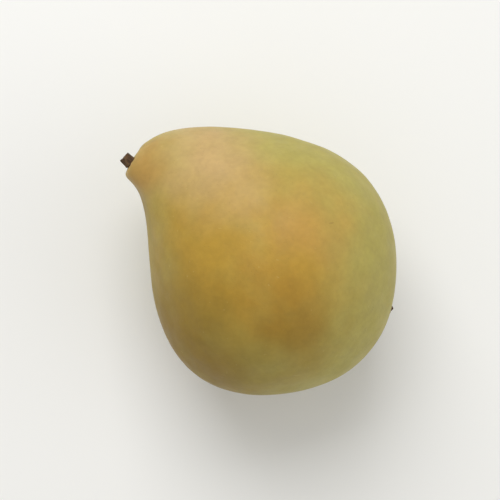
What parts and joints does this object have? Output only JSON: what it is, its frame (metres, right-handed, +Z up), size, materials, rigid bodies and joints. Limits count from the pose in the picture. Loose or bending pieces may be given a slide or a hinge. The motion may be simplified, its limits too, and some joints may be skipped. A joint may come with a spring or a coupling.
{
  "type": "guava",
  "caption": "Whole guava as picked, lying on its side: egg-shaped fruit bent at the neck, woody stem stub at one end and dried calyx crown at the other.",
  "frame": {"origin": "centre of the small flat spot under the fruit, on the surface that it rests on", "axes": "+X along the fruit from the stem end to the blossom end, +Z up, +Y towards the side away from the hollow under the neck"},
  "size_m": [0.08, 0.0668, 0.0669],
  "materials": {
    "skin": "smooth waxy fruit skin, satin, yellow-green with gold and faint pink blush",
    "stem_wood": "dry woody stalk, matte dark brown",
    "dried_husk": "dried papery sepals, matte purple-brown"
  },
  "bodies": {
    "root": {"fruit": "skin", "stem": "stem_wood", "calyx": "dried_husk"}
  },
  "joints": []
}
